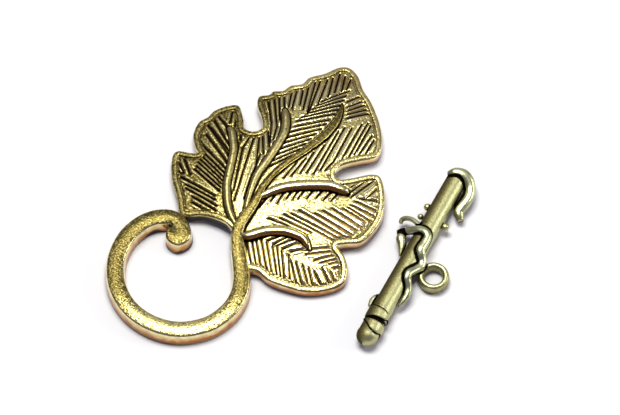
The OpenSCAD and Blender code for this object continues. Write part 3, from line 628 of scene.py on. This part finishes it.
# Cords: across in rod radii, along in hundredths of the length, half width as a share of the thickest cord's,
# and height in rod radii over the rod's axis.
vineRows = [
    # over the upper end and down into a hook
    [[-0.95, 43.4, 0.45, 0.55], [-0.6, 44.6, 0.75, 0.7], [-0.1, 45.8, 0.95, 0.7], [0.55, 46.1, 1.1, 0.55],
     [1.15, 44.8, 1.02, 0.38], [1.58, 42.4, 0.88, 0.2], [1.82, 39.4, 0.87, 0.1], [1.83, 35.9, 0.93, 0],
     [1.68, 32.4, 0.93, -0.08], [1.68, 29.8, 0.88, -0.15], [1.95, 28, 0.76, -0.22],
     [2.2, 26.6, 0.55, -0.3]],
    # black web between the hook and the rod
    [[0.7, 45.2, 0.4, 0.1], [1.12, 43, 0.4, 0.05], [1.28, 40, 0.4, 0], [1.28, 36, 0.4, 0],
     [1.2, 32, 0.35, -0.05], [1.15, 29.8, 0.15, -0.1]],
    # across the rod and down its face, past the eye
    [[-2.5, 7.6, 0.5, -0.3], [-2.2, 8.6, 0.65, -0.15], [-1.57, 9.9, 0.72, 0.2], [-0.77, 11.2, 0.75, 0.65],
     [0, 11.4, 0.74, 0.9], [0.47, 9.6, 0.72, 0.88], [0.53, 5.9, 0.76, 0.86], [0.51, 2.4, 0.82, 0.86],
     [0.8, 0.2, 0.82, 0.68], [1.1, -1.6, 0.78, 0.42], [1.2, -3.9, 0.76, 0.36], [0.95, -6.6, 0.74, 0.5],
     [0.64, -10.3, 0.74, 0.78], [0.72, -13, 0.72, 0.72], [1, -14.8, 0.7, 0.5], [1.25, -16.8, 0.66, 0.25],
     [1.38, -19.5, 0.58, 0.12], [1.32, -22.4, 0.43, 0.02], [1.16, -25.6, 0.18, -0.1]],
    # small curl on the left
    [[-0.95, 14.2, 0.42, 0.55], [-1.7, 15.6, 0.44, 0.35], [-2.35, 15.6, 0.44, 0.1], [-2.7, 14.4, 0.42, -0.1],
     [-2.66, 12.9, 0.34, -0.2]],
    # pointed bract below the crossing
    [[-1.95, 8.2, 0.65, -0.05], [-1.85, 5.6, 0.88, -0.1], [-1.55, 3.5, 0.8, -0.15],
     [-1.33, 0.9, 0.55, -0.18], [-1.17, -2.2, 0.18, -0.2]],
    # side shoot near the lower wraps
    [[-0.9, -24.6, 0.27, -0.04], [-1.15, -26.4, 0.45, -0.04], [-1.25, -28.8, 0.5, -0.04],
     [-1.15, -31.6, 0.42, 0.05]],
]
# Buds: across in rod radii, along in hundredths, radius as a share of the rod's.
budRows = [[-1.15, 25.3, 0.36], [-1.28, 19.5, 0.3], [1.28, 20, 0.38]]
# Wraps at the lower end: how far across the rod, and where each one's upper and lower edge lie along it.
wrapAcross = [-1, -0.5, 0, 0.5, 0.8, 0.97]
wrapRows = [
    [[-31.4, -31.7, -32, -32.1, -32.8, -34.9], [-38.1, -37.7, -37.1, -36.8, -36.3, -35.1]],
    [[-38.9, -38.7, -38.5, -38.4, -38.4, -38.6], [-39.2, -41.3, -43.4, -44.2, -43.9, -42.8]],
]
vines = []
for rows in vineRows:
    path = smoothRows(rows, 8)
    vines.append(np.column_stack([path[:, 0] * rodR, path[:, 1] / 100 * bar["length"],
                                  axisZ + path[:, 3] * rodR, vineR * path[:, 2]]))


# Turns the bar's own points and moves them to where it lies.
def laid(points):
    a = math.radians(bar["turn"])
    x, y, z = points.T
    return np.column_stack([barAt[0] + x * math.cos(a) - y * math.sin(a),
                            barAt[1] + x * math.sin(a) + y * math.cos(a), z])


# Patina where a surface runs in under a cord: 1 at the cord's skin, 0 a third of a millimetre off.
def underVines(points, own=None):
    dark = np.zeros(len(points))
    for k, path in enumerate(vines):
        if k != own:
            gap, index = nearest(points, path[:, :3])
            dark = np.maximum(dark, np.clip(1.5 * fade(gap - path[index, 3], 0.08, 0.42), 0, 1))
    return dark


# The rod and its wraps, a radius that depends on the way along and on the turn: a dome at the lower end, a
# rounded edge at the upper one, and a swelling between the two edges of each wrap.
def addRod(shell):
    half, wrap, edge = bar["length"] / 2, bar["wrap"], bar["endRound"]
    low, high = -half, half - bar["short"] * bar["vine"]
    # Rings stand closer together over the dome and over the rounded edge.
    domed = 1.7
    y = np.unique(np.concatenate([low + domed * np.linspace(0, 1, 30) ** 2,
                                  np.linspace(low + domed, high - edge, 400),
                                  high - edge * np.linspace(0, 1, 10) ** 2]))
    turn = np.linspace(0, 2 * np.pi, 72, endpoint=False)
    endR = rodR + 0.25 * wrap
    tail = y[:, None] - low
    dome = np.sqrt(np.clip(endR ** 2 - np.clip(endR - tail, 0, None) ** 2, 0, None))
    r = np.where(tail < endR, dome, endR - (endR - rodR) * np.clip((tail - endR) / 0.3, 0, 1))
    over = np.clip((y[:, None] - high + edge) / edge, 0, 1)
    r = r - bar["endDrop"] * (1 - np.sqrt(np.clip(1 - over ** 2, 0, 1))) + 0 * turn
    edges = np.array([[np.interp(np.cos(turn), wrapAcross, side) for side in row] for row in wrapRows])
    edges = edges * bar["length"] / 100
    dark = np.zeros_like(r)
    for upper, lower in edges:
        share = (y[:, None] - lower) / (upper - lower)
        swell = np.sqrt(np.clip(1 - (2 * share - 1) ** 4, 0, 1))
        r = np.where((share > 0) & (share < 1), np.minimum(r, rodR) + wrap * swell, r)
        seam = np.minimum(np.abs(y[:, None] - upper), np.abs(y[:, None] - lower))
        dark = np.maximum(dark, fade(seam, 0.05, 0.17))
    # The seam between the two wraps is sunk and black.
    between = fade(np.abs(y[:, None] - (edges[0, 1] + edges[1, 0]) / 2), 0.12, 0.3)
    r = r - bar["seamDepth"] * between
    dark = np.maximum(dark, between)
    points = np.stack([r * np.cos(turn), y[:, None] + 0 * r, axisZ + r * np.sin(turn)], -1).reshape(-1, 3)
    faces = [ringFaces(len(y), len(turn))[:, ::-1]] + [f[:, ::-1] for f in capFaces(len(y), len(turn))]
    # The left flank is painted darker, as painted shade, and keeps its sand. The crown and the right flank
    # get more polish, so they are painted lighter and smoother, as a painted sheen.
    side = np.clip(0.42 - 0.2 * np.cos(turn), 0.25, 0.56)
    patinaAndShade = np.maximum(np.maximum(dark, side).ravel(), underVines(points))
    polishAndSheen = np.clip(0.25 + 0.5 * (np.cos(turn) + 0.5), 0.1, 0.7) + 0 * r
    shell.add(laid(points), faces, patinaAndShade, polishAndSheen.ravel())


# The vine cords: one boxy round section carried along each path. They are black with patina where they meet
# the rod or another cord, and, as painted shade, somewhat darker down their lower sides.
def addVines(shell):
    section = roundSection(22, 1.15)
    for k, path in enumerate(vines):
        left, right = edgesOf(path[:, :2], path[:, 3])
        points, faces = carried(left, right, path[:, 2] - path[:, 3], path[:, 2] + path[:, 3], section)
        far = np.hypot(points[:, 0], points[:, 2] - axisZ)
        onRod = fade(far - rodR, 0.1, 0.38) * (np.abs(points[:, 1]) < bar["length"] / 2 - 1.2)
        lowerSideShade = np.tile(np.clip(0.75 - 1.2 * section[:, 1], 0, 0.6), len(path))
        patinaAndShade = np.clip(np.maximum(np.maximum(onRod, lowerSideShade), underVines(points, k)), 0, 1)
        shell.add(laid(points), faces, patinaAndShade, 0.9)


# The buds: small balls that stand in the rod's flanks. Across and along go with the cosine of the rise, and
# height with its sine.
def addBuds(shell):
    rows, sides, tip = 18, 28, 0.02
    turn = np.linspace(0, 2 * np.pi, sides, endpoint=False)
    rise = np.linspace(-np.pi / 2 + tip, np.pi / 2 - tip, rows)
    for across, along, size in budRows:
        r = size * rodR
        x = across * rodR + r * np.cos(rise)[:, None] * np.cos(turn)
        y = along / 100 * bar["length"] + r * np.cos(rise)[:, None] * np.sin(turn)
        z = axisZ + r * np.sin(rise)[:, None] + 0 * turn
        points = np.stack([x, y, z], -1).reshape(-1, 3)
        faces = [ringFaces(rows, sides)] + capFaces(rows, sides)
        far = np.hypot(points[:, 0], points[:, 2] - axisZ)
        shell.add(laid(points), faces, fade(far - rodR, 0, 0.28), 0.7)


# The round eye at the rod's side: a boxy section turned about the middle of the eye, and the short neck that
# joins it to the rod.
def addEye(shell):
    bore, wire, tall = bar["eyeBore"] / 2, bar["eyeWire"], bar["eyeHeight"]
    at = np.array([rodR + bore + wire + bar["eyeGap"], bar["eyeAlong"] * bar["length"],
                   tall / 2 + bar["eyeLift"]])
    section, sides = roundSection(24, 1.25), 72
    profile = np.column_stack([bore + wire / 2 + wire / 2 * section[:, 0], tall * (section[:, 1] - 0.5)])
    points, _ = turned(profile, at, sides)
    faces = ringFaces(len(section), sides, closedRings=True)[:, ::-1]
    far = np.hypot(points[:, 0], points[:, 2] - axisZ)
    hole = np.repeat(np.clip(-section[:, 0] - 0.55, 0, 0.4), sides)
    patinaAndShade = np.maximum(np.maximum(fade(far - rodR, 0.05, 0.5), hole), underVines(points))
    shell.add(laid(points), [faces], patinaAndShade, 0.75)
    neck = np.linspace(0, at[0] - bore - wire / 2, 8)
    turn = np.linspace(0, 2 * np.pi, 24, endpoint=False)
    r = wire * 0.6
    rings = np.stack([neck[:, None] + 0 * turn, at[1] + r * np.cos(turn) + 0 * neck[:, None],
                      at[2] + r * np.sin(turn) + 0 * neck[:, None]], -1).reshape(-1, 3)
    neckFaces = [ringFaces(len(neck), len(turn))] + capFaces(len(neck), len(turn))
    shell.add(laid(rings), neckFaces, 0.9, 0.3)


print("making the bar")
barShell = Shell()
addRod(barShell)
addVines(barShell)
addBuds(barShell)
addEye(barShell)
barPiece = barShell.build("toggle_bar_casting")


# Materials

# Linear colour of an sRGB hex code.
def linear(code):
    s = np.array([int(code[i:i + 2], 16) for i in (0, 2, 4)]) / 255
    c = np.where(s <= 0.04045, s / 12.92, ((s + 0.055) / 1.055) ** 2.4)
    return (*c, 1.0)


# Adds a node with its settings and links, and gives its outputs. An input is a value, or the output of
# another node.
def addNode(tree, kind, inputs=None, **settings):
    node = tree.nodes.new(kind)
    for key, value in settings.items():
        setattr(node, key, value)
    for key, value in (inputs or {}).items():
        if isinstance(value, bpy.types.NodeSocket):
            tree.links.new(value, node.inputs[key])
        else:
            node.inputs[key].default_value = value
    return node.outputs


# Antique gold: zinc cast in a sandy mould, plated, blackened in the low places, then tumbled. So the walls
# and the high edges shine, the flats keep their grain, and every groove is dark. The grain is drawn about a
# quarter of a millimetre across, as coarse as it needs to show.
# The three values at each point also bring in painted shade, a painted sheen and a painted warm reflection,
# which this material colours like patina, polish and the walls' foot.
def antiqueGold(name, finish):
    material = bpy.data.materials.new(name)
    material.use_nodes = True
    tree = material.node_tree
    tree.nodes.clear()
    dull, bright, shine = linear(finish["dull"]), linear(finish["bright"]), linear(finish["shine"])
    foot, patina = linear(finish["foot"]), linear(finish["patina"])
    place = addNode(tree, "ShaderNodeTexCoord")["Object"]
    patinaAndShade = addNode(tree, "ShaderNodeAttribute", attribute_name="patinaAndShade")["Fac"]
    polishAndSheen = addNode(tree, "ShaderNodeAttribute", attribute_name="polishAndSheen")["Fac"]
    warmShade = addNode(tree, "ShaderNodeAttribute", attribute_name="warmShade")["Fac"]
    sand = addNode(tree, "ShaderNodeTexNoise",
                   {"Vector": place, "Scale": 1 / (finish["grain"] * mm), "Detail": 2.0})["Fac"]
    mottle = addNode(tree, "ShaderNodeTexNoise",
                     {"Vector": place, "Scale": 1 / (4 * finish["grain"] * mm), "Detail": 3.0})["Fac"]
    # On the flats the gold goes from dull to bright with the sand's height and the polish, which also carries
    # a painted sheen. Sockets 6 and 7 of a Mix node are its two colours, and its output 2 is the mix.
    lowered = addNode(tree, "ShaderNodeMath", {0: sand, 1: 0.14}, operation="SUBTRACT")[0]
    litAndRubbed = addNode(tree, "ShaderNodeMath", {0: polishAndSheen, 1: 0.7, 2: lowered}, operation="MULTIPLY_ADD")[0]
    wornAndLit = addNode(tree, "ShaderNodeMapRange", {"Value": litAndRubbed, "From Min": 0.38, "From Max": 0.62})[0]
    flat = addNode(tree, "ShaderNodeMix", {0: wornAndLit, 6: dull, 7: bright}, data_type="RGBA")[2]
    # The walls shine, and are painted redder towards their foot, as painted shade and warm reflection. Places
    # with painted warm shade get that foot colour too.
    height = addNode(tree, "ShaderNodeSeparateXYZ", {"Vector": place})["Z"]
    uneven = addNode(tree, "ShaderNodeMath", {0: mottle, 1: 1.6 * mm, 2: height}, operation="MULTIPLY_ADD")[0]
    low = addNode(tree, "ShaderNodeMapRange",
                  {"Value": uneven, "From Min": 2.9 * mm, "From Max": 1.6 * mm})[0]
    wall = addNode(tree, "ShaderNodeMix", {0: low, 6: shine, 7: foot}, data_type="RGBA")[2]
    polished = addNode(tree, "ShaderNodeMapRange", {"Value": polishAndSheen, "From Min": 0.35, "From Max": 0.95})[0]
    metal = addNode(tree, "ShaderNodeMix", {0: polished, 6: flat, 7: wall}, data_type="RGBA")[2]
    gold = addNode(tree, "ShaderNodeMix", {0: warmShade, 6: metal, 7: foot}, data_type="RGBA")[2]
    # Black patina fills the crevices and, off the walls, the deepest pits of the sand. The same dark colour
    # is painted as shade where the points carry painted shade.
    spread = addNode(tree, "ShaderNodeMath", {0: sand, 1: 0.5, 2: -0.25}, operation="MULTIPLY_ADD")[0]
    dark = addNode(tree, "ShaderNodeMath", {0: spread, 1: patinaAndShade}, operation="ADD")[0]
    filled = addNode(tree, "ShaderNodeMapRange", {"Value": dark, "From Min": 0.3, "From Max": 0.7})[0]
    pits = addNode(tree, "ShaderNodeMapRange",
                   {"Value": sand, "From Min": 0.44, "From Max": 0.33, "To Max": 0.6})[0]
    onFlats = addNode(tree, "ShaderNodeMath", {0: 1.0, 1: polished}, operation="SUBTRACT")[0]
    pitted = addNode(tree, "ShaderNodeMath", {0: pits, 1: onFlats}, operation="MULTIPLY")[0]
    share = addNode(tree, "ShaderNodeMath", {0: filled, 1: pitted}, operation="MAXIMUM")[0]
    skin = addNode(tree, "ShaderNodeMix", {0: share, 6: gold, 7: patina}, data_type="RGBA")[2]
    # The walls are twice as smooth as the flats, and patina is rougher than gold.
    smooth = addNode(tree, "ShaderNodeMapRange",
                     {"Value": polished, "To Min": finish["rough"], "To Max": 0.5 * finish["rough"]})[0]
    roughness = addNode(tree, "ShaderNodeMath", {0: share, 1: 0.25, 2: smooth}, operation="MULTIPLY_ADD")[0]
    # The sand's relief is deep on the flats and slight on the walls, over a broad unevenness of the casting.
    strength = addNode(tree, "ShaderNodeMapRange",
                       {"Value": polished, "To Min": finish["relief"], "To Max": 0.12})[0]
    fine = addNode(tree, "ShaderNodeBump", {"Height": sand, "Strength": strength, "Distance": 0.13 * mm})[0]
    broad = addNode(tree, "ShaderNodeBump",
                    {"Height": mottle, "Strength": 0.12, "Distance": 0.12 * mm, "Normal": fine})[0]
    surface = addNode(tree, "ShaderNodeBsdfPrincipled",
                      {"Base Color": skin, "Metallic": 1.0, "Roughness": roughness, "Normal": broad})[0]
    addNode(tree, "ShaderNodeOutputMaterial", {"Surface": surface})
    return material


# Colours of the flats, dull and bright, of the walls, of the brown painted as shade and warm reflection at
# their foot, and of the patina, which also paints shade. Then the sand's grain in mm, the roughness of the
# flats, and the strength of the relief on them.
leafFinish = {
    "dull": "605426", "bright": "C7BA7A", "shine": "EEE4AE", "foot": "A05C18", "patina": "170D05",
    "grain": 0.23, "rough": 0.28, "relief": 0.42,
}
# The bar's plating is greyer and duller.
barFinish = {
    "dull": "746630", "bright": "AFA870", "shine": "C0C498", "foot": "6E6030", "patina": "120D07",
    "grain": 0.24, "rough": 0.6, "relief": 0.3,
}

print("making the materials")
leafMetal = antiqueGold("antique gold plated zinc, leaf and ring", leafFinish)
barMetal = antiqueGold("antique gold plated zinc, bar", barFinish)
for piece, material, node, slot in ((leafPiece, leafMetal, "leaf_loop", "leaf_metal"),
                                    (barPiece, barMetal, "toggle_bar", "bar_metal")):
    piece.data.materials.append(material)
    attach(piece, "root")
    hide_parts(node)


# Table, light and camera

table = {"reach": 3.0, "colour": (0.77, 0.77, 0.77, 1), "rough": 0.9}
view = {
    "azimuth": 35.4, "elevation": 62.0, "target": (7.55, 17.7, 0.0), "distance": 600.0,
    "frameWidth": 79.08, "sensor": 36,
}

print("making the table, the light and the camera")
reach = table["reach"]
tableMesh = bpy.data.meshes.new("white_table")
tableMesh.from_pydata([(-reach, -reach, 0), (reach, -reach, 0), (reach, reach, 0), (-reach, reach, 0)], [],
                      [(0, 1, 2, 3)])
tablePiece = bpy.data.objects.new("white_table", tableMesh)
bpy.context.scene.collection.objects.link(tablePiece)
# Uncoated white card: matt, so that it takes soft shadows and mirrors nothing.
paper = bpy.data.materials.new("white card table")
paper.use_nodes = True
card = paper.node_tree.nodes["Principled BSDF"]
card.inputs["Base Color"].default_value = table["colour"]
card.inputs["Roughness"].default_value = table["rough"]
tableMesh.materials.append(paper)


# Adds a camera or a lamp at a place in mm, turned to look at a target.
def aimed(kind, name, place, target):
    thing = bpy.data.objects.new(name, kind)
    bpy.context.scene.collection.objects.link(thing)
    thing.location = np.array(place) * mm
    thing.rotation_mode = "QUATERNION"
    thing.rotation_quaternion = Vector(np.array(target) - np.array(place)).to_track_quat("-Z", "Y")
    return thing


# The place at this azimuth, elevation and distance in mm from a target.
def around(azimuth, elevation, distance, target):
    a, e = math.radians(azimuth), math.radians(elevation)
    back = np.array([math.sin(a) * math.cos(e), -math.cos(a) * math.cos(e), math.sin(e)])
    return np.array(target) + back * distance


lens = bpy.data.cameras.new("camera")
lens.sensor_width = view["sensor"]
lens.lens = view["sensor"] * view["distance"] / view["frameWidth"]
lens.clip_start, lens.clip_end = 0.01, 10
camera = aimed(lens, "camera", around(view["azimuth"], view["elevation"], view["distance"], view["target"]),
               view["target"])
bpy.context.scene.camera = camera

# Lights: azimuth and elevation as for the camera, distance and size in mm, power in watts, colour.
lightRows = {
    "overhead": (-152, 82, 260, 110, 0.5, "FFFEFA"),
    "upper left": (-95, 70, 520, 170, 1.0, "FFFEFA"),
    "back panel": (-145, 50, 600, 900, 0.8, "FAFCFF"),
    "right": (130, 26, 520, 220, 1.0, "FFFDF6"),
}
for name, (azimuth, elevation, distance, size, power, colour) in lightRows.items():
    lamp = bpy.data.lights.new(name, "AREA")
    lamp.shape = "DISK"
    lamp.size = size * mm
    lamp.energy = power
    lamp.color = linear(colour)[:3]
    aimed(lamp, name, around(azimuth, elevation, distance, view["target"]), view["target"])

# A dim and slightly blue room round it all.
room = {"colour": "DDD8FF", "strength": 0.22}
world = bpy.data.worlds.new("soft studio")
bpy.context.scene.world = world
world.use_nodes = True
background = world.node_tree.nodes["Background"]
background.inputs["Color"].default_value = linear(room["colour"])
background.inputs["Strength"].default_value = room["strength"]
bpy.context.scene.view_settings.view_transform = "Standard"
